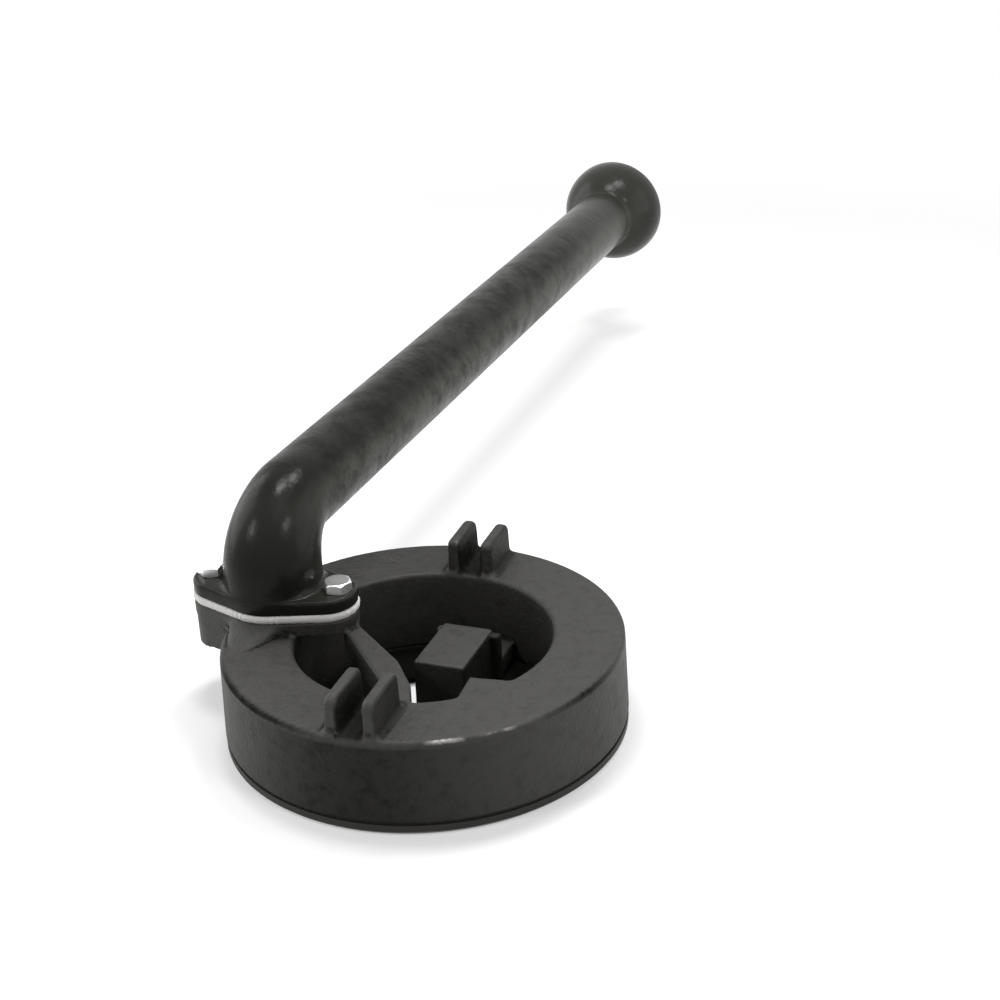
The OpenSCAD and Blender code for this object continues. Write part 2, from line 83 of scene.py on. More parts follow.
def power(name, text, watts):
    """A lamp's power that a user may change"""
    return FloatProperty(name=name, description=text, default=watts, min=0.0, unit="POWER")


class CastingSizes(PropertyGroup):
    """Sizes of the ring's casting"""

    cell: length("Mesh cell", "Size of the cells that the casting's surface is worked out in", 1.35)
    radius: length("Ring radius", "Radius of the ring at its top edge", 100)
    flare: length("Flare", "How much further the wall stands out at the floor", 1.6)
    top: length("Ring height", "Height of the ring's top face", RING_TOP)
    opening: length("Opening radius", "Radius of the opening at the top", 64.5)
    draft: length("Opening draft", "How much narrower the opening is at its foot", 1.2)
    edge: length("Edge rounding", "Rounding of the ring's edges", 2)
    lug_height: length("Lug height", "Height of a lug above the ring", RING_HIGH.z / MM - RING_TOP)
    lug_thickness: length("Lug thickness", "Thickness of a lug at its foot", 7.5)
    lug_slot: length("Lug slot", "Width of the slot between two lugs", 10.5)
    lug_fillet: length("Lug fillet", "Size of the fillet round a lug's foot", 3.5)
    boss_depth: length("Boss depth", "Depth of the boss at its outer end", 25)
    boss_fillet: length("Boss fillet", "Size of the fillet round the boss", 3)
    stay_depth: length("Stay depth", "Depth of the stay", 14)


class TubeSizes(PropertyGroup):
    """Sizes of the mixing tube and of its flange"""

    flange_length: length("Flange length", "Length of the flange", 89)
    flange_width: length("Flange width", "Width of the flange", 51)
    flange_end: length("Flange end radius", "Radius of the flange's two ends", 16)
    flange_thickness: length("Flange thickness", "Thickness of the tube's flange", 7)
    bolt_span: length("Bolt span", "Distance between the two bolts", 71)
    elbow: length("Elbow radius", "Radius of the upright part below the elbow", 24.8)
    bend: length("Bend radius", "Radius to which the centre line bends", 30)
    tube: length("Tube radius", "Radius of the tube where it leaves the elbow", 21.4)
    tube_end: length("Tube end radius", "Radius of the tube where it meets the bell", 21.8)
    bore: length("Bore radius", "Radius of the way through", 18.6)
    throat: length("Throat radius", "Radius of the narrow throat", 17)
    bell: length("Bell radius", "Radius of the bell", 38)
    bell_place: length("Bell place", "Distance from the inlet to the bell's centre", 595)


class FittingSizes(PropertyGroup):
    """Sizes of the bolts and the brass fittings"""

    bolt: length("Bolt radius", "Radius of a flange bolt", 4)
    bolt_flats: length("Bolt head", "Width of a bolt's head across its flats", 13)
    bolt_head: length("Bolt head height", "Height of a bolt's head", 5.3)
    thread_pitch: length("Thread pitch", "Pitch of the thread on the brass holder", 1.25)
    stem: length("Holder radius", "Radius of the threaded stem of the holder", 8)
    rough_edge: length("Gasket edge", "How uneven the cut edge of the gasket is", 0.5)


class FinishColours(PropertyGroup):
    """Colours of the finishes"""

    iron: colour("Iron", "Dull black stove finish of the ring", (0.022, 0.021, 0.0185))
    iron_worn: colour("Worn iron", "Iron where the finish has worn off an edge", (0.40, 0.39, 0.37))
    paint: colour("Tube paint", "Glossy black of the mixing tube", (0.010, 0.010, 0.0085))
    plate: colour("Port plate", "Machined iron of the flame side", (0.20, 0.20, 0.195))
    fibre: colour("White fibre", "Gasket below the tube's flange", (0.88, 0.87, 0.84))
    zinc: colour("Zinc", "Plated bolts, screws and washers", (0.93, 0.93, 0.92))
    brass: colour("Brass", "Turned brass fittings", (0.78, 0.57, 0.26))
    copper: colour("Copper", "Sealing washer of the injector", (0.78, 0.42, 0.28))
    sheet: colour("Sheet steel", "Air shutter", (0.33, 0.33, 0.34))


class StudioSettings(PropertyGroup):
    """Camera and lamps"""

    lens: FloatProperty(name="Focal length", description="Focal length of the camera, in millimetres",
                        default=61.2, min=10.0, max=300.0, unit="CAMERA")
    shift: FloatVectorProperty(name="Camera shift", description="Sideways and upward shift of the camera", size=2,
                               default=(-0.03646, 0.00778))
    place: FloatVectorProperty(name="Camera place", description="Where the camera stands", size=3,
                               default=(0.30813, -0.67469, 0.45727), subtype="XYZ", unit="LENGTH")
    turn: FloatVectorProperty(name="Camera turn", description="How the camera is turned", size=3,
                              default=(radians(65.129), radians(1.852), radians(19.184)), subtype="EULER")
    back: power("Back lamp", "Power of the lamp above the tube", 3.9)
    top: power("Top lamp", "Power of the lamp above the ring", 0.6)
    glint: power("Glint lamp", "Power of the small lamp over the elbow", 3.6)
    front_left: power("Front left lamp", "Power of the small lamp at the front left", 2.9)
    front_right: power("Front right lamp", "Power of the small lamp at the front right", 2.6)
    left: power("Left lamp", "Power of the wide lamp at the left", 10.0)
    right: power("Right lamp", "Power of the wide lamp at the right", 5.0)
    room: FloatProperty(name="Room light", description="Strength of the room's even light", default=0.12, min=0.0)


class BurnerSettings(PropertyGroup):
    """All settings of the burner"""

    casting: PointerProperty(type=CastingSizes)
    tube: PointerProperty(type=TubeSizes)
    fittings: PointerProperty(type=FittingSizes)
    colours: PointerProperty(type=FinishColours)
    studio: PointerProperty(type=StudioSettings)


def settings():
    return bpy.context.scene.ring_burner


# ---- surfaces ----


def signed_volume(points, quads):
    """Six times the volume inside the quads, negative if they point inwards"""
    a, b, c, d = (points[quads[:, i]] for i in range(4))
    return np.sum(np.cross(a, b) * c) + np.sum(np.cross(a, c) * d)


def add_object(name, data):
    """Makes an object in the scene"""
    made = bpy.data.objects.new(name, data)
    bpy.context.scene.collection.objects.link(made)
    return made


def put_piece(name, shells, replaced, material, sharp=None):
    """Makes one object of closed shells, each (points, quads, flat end faces), in the place of CAD nodes. Its faces
    are smooth, with edges over the sharp angle kept."""
    points, faces, start = [], [], 0
    for shell_points, quads, ends in shells:
        if signed_volume(shell_points, quads) < 0:
            quads = quads[:, ::-1]
            ends = [end[::-1] for end in ends]
        points.append(shell_points)
        faces += (quads + start).tolist() + [(end + start).tolist() for end in ends]
        start += len(shell_points)
    mesh = bpy.data.meshes.new(name)
    mesh.from_pydata(np.concatenate(points), [], faces)
    if mesh.validate():
        raise RuntimeError(f"{name}: the mesh had faces that had to be mended")
    mesh.materials.append(material)
    mesh.shade_smooth()
    if sharp is not None:
        mesh.set_sharp_from_angle(angle=radians(sharp))
    piece = add_object(name, mesh)
    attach(piece, "burner")
    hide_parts(*replaced)
    return piece


def tube_shell(rows, closed=True):
    """Shell of a grid whose rows are rings of points. Row i, column j joins row i + 1, column j + 1.
    A closed shell's last row joins its first. An open one gets a flat face at each end."""
    count, sides = rows.shape[:2]
    number = np.arange(count * sides).reshape(count, sides)
    low = number if closed else number[:-1]
    high = np.roll(number, -1, axis=0) if closed else number[1:]
    quads = np.stack([low, high, np.roll(high, -1, axis=1), np.roll(low, -1, axis=1)], axis=-1)
    ends = [] if closed else [number[0], number[-1][::-1]]
    return rows.reshape(-1, 3), quads.reshape(-1, 4), ends


def turn_angles(sides):
    return np.arange(sides) * 2 * pi / sides


def arc(centre, radius, start, end, count):
    """Points of an arc in a plane, from start to end in degrees"""
    turn = np.radians(np.linspace(start, end, count))
    return np.stack([centre[0] + radius * np.cos(turn), centre[1] + radius * np.sin(turn)], axis=1)


def hexagon(angles, flats, place=0.0):
    """Radius of a hexagon along each angle: half its flats over the cosine of the turn from the nearest flat"""
    off = (angles - place + pi / 6) % (pi / 3) - pi / 6
    return flats / 2 / np.cos(off)


def chamfered(hexa, face, into, thick=inf):
    """Radius of a hexagon at a depth into it: the lesser of its own and of a cone's, which has the face's radius at
    each face and widens by 1.7 for each unit of depth. Face, depth and thickness are in millimetres."""
    return np.minimum(hexa, (face + min(into, thick - into) * 1.7) * MM)


def spread(profile, turn):
    """Radius, turn and place of each point of the rings round an axis. Each (radius, place) of a profile gives one
    ring, and either may differ from turn to turn."""
    return np.moveaxis([np.broadcast_arrays(radius, turn, place) for radius, place in profile], 1, 0)


def along_tube(profile, turn):
    """Rings round the tube's axis, from (radius, y). Turn 0 is up, and a quarter turn is +X."""
    radius, turn, y = spread(profile, turn)
    return np.stack([INLET_X + radius * np.sin(turn), y, AXIS_Z + radius * np.cos(turn)], axis=-1)


def upright(centre_x, profile, turn):
    """Rings round an upright axis, from (radius, height). Turn 0 is -Y, and a quarter turn is +X."""
    radius, turn, z = spread(profile, turn)
    return np.stack([centre_x + radius * np.sin(turn), -radius * np.cos(turn), z], axis=-1)


# ---- distances: below zero inside a form ----


def soft_join(a, b, fillet):
    """Smaller of two distances, less a quarter of the squared overlap where they differ by under the fillet"""
    overlap = np.maximum(fillet - np.abs(a - b), 0) / fillet
    return np.minimum(a, b) - overlap * overlap * fillet / 4


def slab(outline, z, low, high, rounding):
    """Distance to an outline that is raised from low to high and has rounded edges: the length of what lies past
    the inner edge of its rounding, less the rounding"""
    past_u = outline + rounding
    past_v = np.abs(z - (low + high) / 2) - (high - low) / 2 + rounding
    outside = np.hypot(np.maximum(past_u, 0), np.maximum(past_v, 0))
    return outside + np.minimum(np.maximum(past_u, past_v), 0) - rounding


def rectangle(u, v, half_u, half_v, rounding):
    """Distance to a rectangle with rounded corners"""
    return slab(np.abs(u) - half_u, v, -half_v, half_v, rounding)


def flange_outline(x, y, tube):
    """Distance to the flange's outline: a middle circle, a circle about each bolt, and the straight sides that
    touch them. The part of a point that lies along a side says which of the three is nearest."""
    reach = tube.flange_length / 2 - tube.flange_end
    lean = (tube.flange_width / 2 - tube.flange_end) / reach
    level = sqrt(1 - lean * lean)
    along, across = np.abs(x), np.abs(y)
    part = along * level - across * lean
    middle = np.hypot(along, across) - tube.flange_width / 2
    end = np.hypot(along - reach, across) - tube.flange_end
    side = across * level + along * lean - tube.flange_width / 2
    return np.where(part < 0, middle, np.where(part > level * reach, end, side))


def flange_radius(turn, tube, proud=0.0):
    """Distance from the flange's centre to its outline along each turn, by halving the gap 40 times"""
    low, high = np.zeros_like(turn), np.full_like(turn, tube.flange_length)
    for _ in range(40):
        middle = (low + high) / 2
        inside = flange_outline(middle * np.sin(turn), middle * np.cos(turn), tube) < proud
        low, high = np.where(inside, middle, low), np.where(inside, high, middle)
    return low


def rise(value, low, high):
    """0 below low, 1 above high, and a straight rise between them"""
    return np.clip((value - low) / (high - low), 0, 1)


def bell_curve(value, middle, width):
    """1 at the middle, falling off as a bell curve"""
    return np.exp(-(((value - middle) / width) ** 2))


def polygon(x, y, corners):
    """Distance to a convex polygon: the largest of the distances to its sides, each measured to the left of the way
    along the side. Corners are in millimetres and run clockwise."""
    corners = np.array(corners) * MM
    far = np.full(np.shape(x), -1.0)
    for here, there in zip(corners, np.roll(corners, -1, axis=0)):
        way = (there - here) / np.linalg.norm(there - here)
        far = np.maximum(far, (y - here[1]) * way[0] - (x - here[0]) * way[1])
    return far


class Casting:
    """The ring's casting as one distance in space, so that its forms run into each other in cast fillets"""

    FLUSH_EDGE, BOSS_EDGE = 1.3 * MM, 0.8 * MM
    STAY = (-36.3, 0.9), (-1.4, -28.2), (13.2, -47.2), (20.5, -64.4), (12.6, -64.4), (-41.5, -5.3)
    WEB = (37.2, -32.9), (60, -30.2), (66, -36), (50, -58), (38.9, -58)

    def __init__(self, sizes, tube):
        self.s, self.tube = sizes, tube
        self.foot = RING_LOW.z
        self.boss_top = GASKET_LOW.z

    def __call__(self, x, y, z):
        """The forms that are flush with the top are joined and cut off level there, and the others follow"""
        s = self.s
        form = self.ring(x, y, z)
        for part, fillet in ((self.stay(x, y, z), 2 * MM), (self.web(x, y, z), 1.5 * MM)):
            form = soft_join(form, part, fillet)
        form = np.maximum(form, z - s.top)
        outline = flange_outline(x - INLET_X, y, self.tube)
        for part, fillet in (*((lug, s.lug_fillet) for lug in self.lugs(x, y, z)),
                             (self.swelling(x, y, z), 0.6 * MM), (self.boss(outline, z), s.boss_fillet),
                             (self.overhang(outline, x, z), 1.5 * MM), (self.pad(x, y, z), 2 * MM)):
            form = soft_join(form, part, fillet)
        return np.maximum(form, -self.hollow(x, y, z))

    def ring(self, x, y, z):
        """A rectangle with rounded corners, turned about the ring's axis, with a flared wall and a drafted opening"""
        s = self.s
        outer = s.radius + s.flare * (1 - z / s.top)
        inner = s.opening - s.draft * (s.top - z) / (s.top - self.foot)
        wall = np.abs(np.hypot(x, y) - (outer + inner) / 2) - (outer - inner) / 2
        return slab(wall, z, self.foot, s.top, s.edge)

    def lugs(self, x, y, z):
        """Four upright slabs that thin towards the top. The outer top corner is rounder than the inner one."""
        s = self.s
        lean, x = radians(2), x - 1.5 * MM
        across = x * np.cos(lean) + y * np.sin(lean)
        along = y * np.cos(lean) - x * np.sin(lean)
        start, end = s.opening + 1.5 * MM, s.radius - 3 * MM
        low, high = s.top - 4 * MM, s.top + s.lug_height
        foot_corner, outer_corner, inner_corner, edge = 0.5 * MM, 5.5 * MM, 3 * MM, 2 * MM
        thinning = 0.7 * MM
        half = s.lug_thickness / 2 - thinning * rise(z - s.top, 0, s.lug_height)
        for side, hand in product((-1, 1), repeat=2):
            off = along * side - (start + end) / 2
            corner = np.where(z < (low + high) / 2, foot_corner, np.where(off > 0, outer_corner, inner_corner))
            face = slab(np.abs(off) - (end - start) / 2, z, low, high, corner)
            yield slab(face, across - hand * (s.lug_slot + s.lug_thickness) / 2, -half, half, edge)

    def boss(self, outline, z):
        """The flange's outline raised above the ring"""
        return slab(outline, z, self.s.top - 1 * MM, self.boss_top, self.BOSS_EDGE)

    def overhang(self, outline, x, z):
        """The deeper part of the boss, outside the ring's wall, with an underside that climbs towards the wall"""
        reach, climb = 36 * MM, 0.11
        outward = x - INLET_X + self.tube.flange_length / 2
        under = self.boss_top - self.s.boss_depth + climb * outward
        block = slab(np.maximum(outline, outward - reach), z, self.s.top - 20 * MM, self.boss_top, self.BOSS_EDGE)
        return np.maximum(block, under - z)

    def swelling(self, x, y, z):
        """The rise between the ring and the boss: an ellipse along the ring that narrows as it climbs"""
        s = self.s
        climb = np.clip((z - s.top) / (self.boss_top - s.top), -1, 1.2)
        half_x, half_y = (15 + 6 * climb) * MM, (42.5 - 17 * climb) * MM
        ellipse = np.hypot((x - INLET_X + 1.5 * MM) / half_x, y / half_y)
        return np.maximum.reduce([(ellipse - 1) * half_x, z - self.boss_top + 0.5 * MM, s.top - 6 * MM - z,
                                  np.hypot(x, y) - s.radius + 0.8 * MM])

    def stay(self, x, y, z):
        """A bar from the boss to the far side of the opening, flush with the ring, that widens on its way"""
        return slab(polygon(x, y, self.STAY), z, self.s.top - self.s.stay_depth, self.s.top, self.FLUSH_EDGE)

    def web(self, x, y, z):
        """The flush plate in one corner of the opening"""
        return slab(polygon(x, y, self.WEB), z, self.s.top - 8 * MM, self.s.top, self.FLUSH_EDGE)

    def pad(self, x, y, z):
        """The pad with drafted sides and a rib at its back, and the bridge below it that crosses the opening"""
        foot, top, bridge_top = self.foot, self.s.top - 4 * MM, 16 * MM
        draft = 0.5 * MM * (top - z) / (top - foot)
        pad = rectangle(x - 16 * MM, y + 0.3 * MM, 13 * MM + draft, 20.3 * MM + draft, 1.2 * MM)
        pad = slab(pad, z, foot, top, 1 * MM)
        rib = rectangle(x - 17 * MM, y - 17.6 * MM, 16.8 * MM, 2.4 * MM, 1 * MM)
        rib = slab(rib, z, foot, top - 1.5 * MM, 1 * MM)
        bridge = slab(np.abs(x - 15.5 * MM) - 10 * MM, z, foot, bridge_top, 1.5 * MM)
        bridge = np.maximum(bridge, np.hypot(x, y) - self.s.opening - 4 * MM)
        return soft_join(np.minimum(pad, rib), bridge, 3 * MM)

    def hollow(self, x, y, z):
        """The gas chamber, less the pillars for the plate's screws, and the gas inlet above it"""
        roof, middle, half_width, corner = self.s.top - 10.5 * MM, 82 * MM, 8.5 * MM, 4 * MM
        screw_circle, pillar = 86 * MM, 6 * MM
        hollow = slab(np.abs(np.hypot(x, y) - middle) - half_width, z, 0, roof, corner)
        for turn in np.radians(np.arange(6) * 60 + 15):
            off = np.hypot(x - screw_circle * np.cos(turn), y - screw_circle * np.sin(turn))
            hollow = np.maximum(hollow, pillar - off)
        widening = rise(z - roof + 5 * MM, 0, 12.5 * MM)
        inlet = np.hypot(x - INLET_X, y) - (8.6 + 5.9 * widening) * MM
        return np.minimum(hollow, np.maximum(inlet, roof - 6 * MM - z))


def neighbours(field, points, step):
    """Values of a field a step before and a step after each point, for each axis"""
    return [(field(*(points - shift).T), field(*(points + shift).T)) for shift in np.eye(3) * step]


def slope(field, points, step):
    """Gradient of a field at each point, by central differences"""
    return np.stack([(after - before) / (2 * step) for before, after in neighbours(field, points, step)], axis=1)


def net_surface(field, low, high, cell):
    """The surface where a field is zero. Each cell of a cubic grid that the surface crosses gets one point, the
    mean of where it crosses the cell's edges, moved onto the surface along the gradient, and each grid edge that
    it crosses gets one quad between the four cells around it. The surface keeps clear of the grid's rim."""
    axes = [np.arange(a, b + cell, cell) for a, b in zip(low, high)]
    value = field(*np.meshgrid(*axes, indexing="ij"))
    cells = tuple(n - 1 for n in value.shape)
    total, count = np.zeros(cells + (3,)), np.zeros(cells)
    origin = np.stack(np.meshgrid(*(a[:-1] for a in axes), indexing="ij"), axis=-1)
    crossings = []
    for axis in range(3):
        here = np.take(value, range(cells[axis]), axis=axis)
        there = np.take(value, range(1, cells[axis] + 1), axis=axis)
        crossed = (here < 0) != (there < 0)
        share = np.where(crossed, here / np.where(crossed, here - there, 1), 0)
        crossings.append((crossed, here < 0))
        others = [a for a in range(3) if a != axis]
        for offsets in product((0, 1), repeat=2):
            start = np.zeros(3, int)
            start[others] = offsets
            pick = tuple(slice(a, a + n) for a, n in zip(start, cells))
            total[..., axis] += share[pick]
            total += start * crossed[pick][..., None]
            count += crossed[pick]
    used = count > 0
    number = np.full(cells, -1)
    number[used] = np.arange(used.sum())
    points = origin[used] + cell * total[used] / count[used][:, None]
    quads = []
    for axis, (crossed, inside) in enumerate(crossings):
        others = [(axis + 1) % 3, (axis + 2) % 3]
        at = np.argwhere(crossed)
        corners = []
        for offsets in ((1, 1), (0, 1), (0, 0), (1, 0)):
            cell_at = at.copy()
            cell_at[:, others] -= offsets
            corners.append(number[tuple(cell_at.T)])
        around = np.stack(corners, axis=1)
        outwards = inside[tuple(at.T)]
        quads.append(np.where(outwards[:, None], around, around[:, ::-1]))
    rounds, step, least_slope = 4, 0.05 * MM, 0.2
    for _ in range(rounds):
        gradient = slope(field, points, step)
        squared = np.maximum((gradient**2).sum(axis=1), least_slope)
        move = field(*points.T)[:, None] * gradient / squared[:, None]
        points = points - np.clip(move, -cell / 2, cell / 2)
    return points, np.concatenate(quads)


def mark_edges(mesh, form):
    """Attributes edge and painted shade, from 0 to 1. Edges curve outwards and creases inwards: the sum of the field at
    six neighbours less six times its own value, over the squared step, is above or below zero there. Painted shade lies
    in the creases, in the slots between lugs, on faces turned to +X, in the opening, on the front of the wall and along
    part of the rim. Edge is wear on proud edges, with a painted highlight along part of the front rim."""
    s = form.s
    points = np.zeros(len(mesh.vertices) * 3)
    mesh.vertices.foreach_get("co", points)
    points = points.reshape(-1, 3)
    step = 1 * MM
    curve = -6 * form(*points.T)
    for before, after in neighbours(form, points, step):
        curve = curve + before + after
    curve = curve / step**2
    bend, crease = np.clip(curve * 1.5 * MM, 0, 1), np.clip(-curve * 1.2 * MM, 0, 1)
    normals = slope(form, points, 0.08 * MM)
    normals /= np.linalg.norm(normals, axis=1)[:, None]
    x, y, z = points.T
    radius, turn = np.hypot(x, y), np.degrees(np.arctan2(y, x))
    rim = rise(radius, 96 * MM, 98 * MM) * rise(z, 44 * MM, 47 * MM)
    # Painted highlight: a brighter, bare-looking edge in two narrow bands of the front rim
    worn = bell_curve(turn, -62, 7) + 0.75 * bell_curve(turn, -46, 7)
    # Painted shade: a darker band along two parts of the rim edge, where the wear is also taken back
    dimmed = bell_curve(turn, -125, 26) + 0.7 * bell_curve(turn, -18, 16)
    top_face = rise(z, s.top - 1 * MM, s.top) * rise(radius, s.opening - 1 * MM, s.opening + 1 * MM)
    between = np.abs(x - 1.5 * MM + 0.035 * y) < s.lug_slot / 2 + 1.2 * MM
    slot = top_face * between * (1 - rise(z, s.top + 0.6 * s.lug_height, s.top + s.lug_height))
    turned = rise(normals[:, 0], 0.4, 0.8) * rise(z, s.top + 1 * MM, s.top + 3 * MM) * (np.abs(x) < 22 * MM)
    opening = rise(s.top - z, 3.5 * MM, 6 * MM) * (radius < 65.5 * MM)
    right_corner = rise(x, 28 * MM, 29 * MM) * (radius < 62 * MM)
    left_corner = rise(-x, 12 * MM, 30 * MM) * rise(-y, 5 * MM, 20 * MM)
    wall = (radius > 99.5 * MM) * rise(s.top - z, 2 * MM, 4 * MM) * bell_curve(turn, -85, 30)
    # Painted shade: darker in creases, in the slots between the lugs, on faces turned to +X, on the front of the wall,
    # in the opening and along part of the rim
    painted_shade = np.maximum.reduce([share * place for share, place in (
        (0.85, rise(bend * rim * dimmed, 0.1, 0.6)), (0.8, rise(crease, 0.06, 0.4)), (0.8, slot), (0.4, turned),
        (0.62, wall), (0.14 + 0.6 * np.maximum(right_corner, left_corner), opening))])
    # Wear on every proud edge, less along the rim, plus the painted highlight, and less where the rim is painted darker
    edge = bend * (0.42 + rim * (0.85 * worn - 0.15 - 0.27 * np.minimum(dimmed, 1)))
    for name, value in (("edge", edge), ("painted_shade", painted_shade)):
        layer = mesh.attributes.new(name, "FLOAT", "POINT")
        layer.data.foreach_set("value", value.astype(np.float32))
    mesh.normals_split_custom_set_from_vertices(normals)


# ---- the mixing tube ----


def flange_rows(t, turn):
    """Rings from the bore out along the gasket, up the rounded rim and in to the fillet below the elbow"""
    low, high = GASKET_HIGH.z, GASKET_HIGH.z + t.flange_thickness
    edge = flange_radius(turn, t)
    room = edge - t.elbow
    foot = 0.6 * MM
    rim, fillet = np.minimum(1.8 * MM, room * 0.45), np.minimum(4.0 * MM, room * 0.5)
    profile = [(t.bore, low), *((edge + r, z) for r, z in arc((-foot, low + foot), foot, -90, 0, 4))]
    for a in np.radians(np.linspace(0, 90, 7)):
        profile.append((edge - rim * (1 - np.cos(a)), high - rim * (1 - np.sin(a))))
    for a in np.radians(np.linspace(0, 80, 8)):
        profile.append((t.elbow + fillet * (1 - np.sin(a)), high + fillet * (1 - np.cos(a))))
    return upright(INLET_X, profile, turn)


def elbow_ring(t, bend, radius, turn):
    """Circle round the elbow's centre line, a quarter circle that bends from upright to level. Turn 0 points away
    from that quarter circle's centre."""
    out = radius * np.cos(turn)
    return np.stack([INLET_X + radius * np.sin(turn), t.bend * (1 - np.cos(bend)) - out * np.cos(bend),
                     AXIS_Z - t.bend + (t.bend + out) * np.sin(bend)], axis=-1)


def outer_rows(t, turn):
    """Rings up the elbow, which draws in as the squared cosine of its bend, along the tube, round the bell"""
    elbow = [elbow_ring(t, bend, t.tube + (t.elbow - t.tube) * np.cos(bend) ** 2, turn)
             for bend in np.linspace(0, pi / 2, 25)]
    ball, fillet, lip = t.bell_place, 5 * MM, 1.2 * MM
    back = sqrt((t.bell + fillet) ** 2 - (t.tube_end + fillet) ** 2)
    meet = np.degrees(np.arctan2(back, t.tube_end + fillet))
    level = zip(np.linspace(t.tube, t.tube_end, 12), np.linspace(t.bend + 15 * MM, ball - back - 8 * MM, 12))
    profile = [*level, *arc((t.tube_end + fillet, ball - back), fillet, 180, 180 - meet, 8),
               *arc((0, ball), t.bell, -meet, 0, 28), *arc((t.bell - lip, MOUTH_Y - lip), lip, 0, 90, 6)]
    return np.concatenate([elbow, along_tube(profile, turn)])


def inner_rows(t, turn):
    """Rings from the mouth back through the bell, the throat and the bore to the gasket"""
    ball, wall, seat, mouth, neck = t.bell_place, t.bell - 3.2 * MM, 35.8 * MM, 33.4 * MM, t.throat + 2 * MM
    chamfer = 0.4 * MM
    first, last = -np.degrees(np.arccos([mouth / wall, neck / wall]))
    profile = [(seat + chamfer, MOUTH_Y), (seat, MOUTH_Y - chamfer), (seat, ball), (mouth, ball),
               *arc((0, ball), wall, first, last, 14),
               (t.throat, 540 * MM), (t.throat, 525 * MM), (t.bore, 505 * MM),
               *((t.bore, y) for y in np.linspace(480 * MM, t.bend + 10 * MM, 8))]
    elbow = [elbow_ring(t, bend, t.bore, turn) for bend in np.linspace(pi / 2, 0, 14)]
    return np.concatenate([along_tube(profile, turn), elbow])


# ---- gasket, bolts and brass fittings ----


def ragged(turn):
    """Unevenness from 0 to 1: the sum of nine waves round the edge, each with its own count and start"""
    draw = np.random.default_rng(7)
    waves = draw.integers(5, 70, 9)
    starts = draw.uniform(0, 2 * pi, 9)
    total = np.sin(turn[:, None] * waves + starts).sum(axis=1) / 9
    return np.clip(0.5 + total, 0, 1)


def bolt(f, centre, seat, place):
    """Shell up the shank, out over the washer face and up the head. The head's radius is the least of the
    hexagon's and of two cones that chamfer its corners."""
    turn = turn_angles(120)
    hexa = hexagon(turn, f.bolt_flats, place)
    face, corner = f.bolt_flats / 2 * 0.97, f.bolt_flats / sqrt(3)
    top = seat + f.bolt_head
    profile = [(f.bolt - 0.6 * MM, seat - 22 * MM), (f.bolt, seat - 21 * MM), (f.bolt, seat), (face, seat),
               (face, seat + 0.35 * MM)]
    for up in np.array([0.35, 0.6, 1.0, 2.0, 3.0, 3.6, 4.0, 4.3, 4.6, 4.9, 5.1, 5.22, 5.3]) * MM:
        upper_cone = face - 0.25 * MM + (f.bolt_head - up) * 1.75
        lower_cone = corner - 0.5 * MM + up * 1.2
        profile.append((np.minimum(np.minimum(hexa, upper_cone), lower_cone), seat + up))
    profile += [(face - 0.9 * MM, top), (face * 0.3, top - 0.12 * MM)]
    return tube_shell(upright(centre, profile, turn), False)


def holder(f):
    """Shell along the axis: nose, hexagon, shoulder and a stem whose radius falls and rises once in each pitch,
    shifted by the turn, then the gas inlet's bore back to the nose"""
    turn = turn_angles(96)
    low, high = HOLDER_LOW.y, HOLDER_HIGH.y
    plate = settings().tube.bell_place
    hexa = hexagon(turn, 24 * MM)
    start, end, pitch = NUT_LOW.y - 1.2 * MM, high - 1.2 * MM, f.thread_pitch
    profile = [(6.4 * MM, low), (7 * MM, low + 0.6 * MM), (7 * MM, plate - 7 * MM), (11.6 * MM, plate - 7 * MM)]
    profile += [(chamfered(hexa, 11.6, into), plate - (7 - into) * MM) for into in (0.0, 0.4, 1.0, 6.9)]
    profile += [(10 * MM, plate - 0.1 * MM), (10 * MM, start)]
    for y in np.linspace(start, end, int((end - start) / (pitch / 10))):
        phase = ((y - start) / pitch - turn / (2 * pi)) % 1.0
        depth = np.clip(np.abs(phase - 0.5) * 2.6 - 0.3, 0, 1) * 0.6 * pitch
        fade = rise(end - y, 0, 0.8 * pitch)
        profile.append((f.stem - 0.02 * MM - depth * fade, y))
    profile += [(f.stem - 0.8 * MM, high), (6.5 * MM, high), (5.9 * MM, high - 0.6 * MM),
                (5.9 * MM, high - 12 * MM), (2.5 * MM, high - 12 * MM), (2.5 * MM, low + 8 * MM),
                (4 * MM, low + 8 * MM), (4 * MM, low)]
    return tube_shell(along_tube(profile, turn))


def nut():
    """A hexagon with both ends chamfered, and its bore"""
    turn, thick = turn_angles(120), 7.0
    low, high = NUT_LOW.y, NUT_HIGH.y
    hexa = hexagon(turn, 24 * MM)
    profile = [(chamfered(hexa, 11.7, into, thick), low + (high - low) * into / thick)
               for into in (0.0, 0.25, 0.5, 0.9, 1.4, 5.6, 6.1, 6.5, 6.75, 7.0)]
    profile += [(9 * MM, high), (8.05 * MM, high - 0.8 * MM), (8.05 * MM, low + 0.8 * MM), (9 * MM, low)]
    return tube_shell(along_tube(profile, turn))


def injector():
    """A small hexagon, and a cone with the jet's hole in its tip"""
    turn, thick = turn_angles(72), 5.0
    low, high = (corner.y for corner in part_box("injector"))
    hexa = hexagon(turn, 11 * MM)
    seat, jet = high - 8 * MM, 0.6 * MM
    profile = [(jet, low), (2 * MM, low), (2.4 * MM, low + 0.5 * MM), (4.4 * MM, seat - 5 * MM)]
    profile += [(chamfered(hexa, 5.3, into, thick), seat - (thick - into) * MM)
                for into in (0.0, 0.5, 1.0, 4.0, 4.5, 5.0)]
    profile += [(4 * MM, seat), (4 * MM, high), (1.8 * MM, high), (1.8 * MM, low + 3 * MM), (jet, low + 2.4 * MM)]
    return tube_shell(along_tube(profile, turn))


# ---- shader trees ----


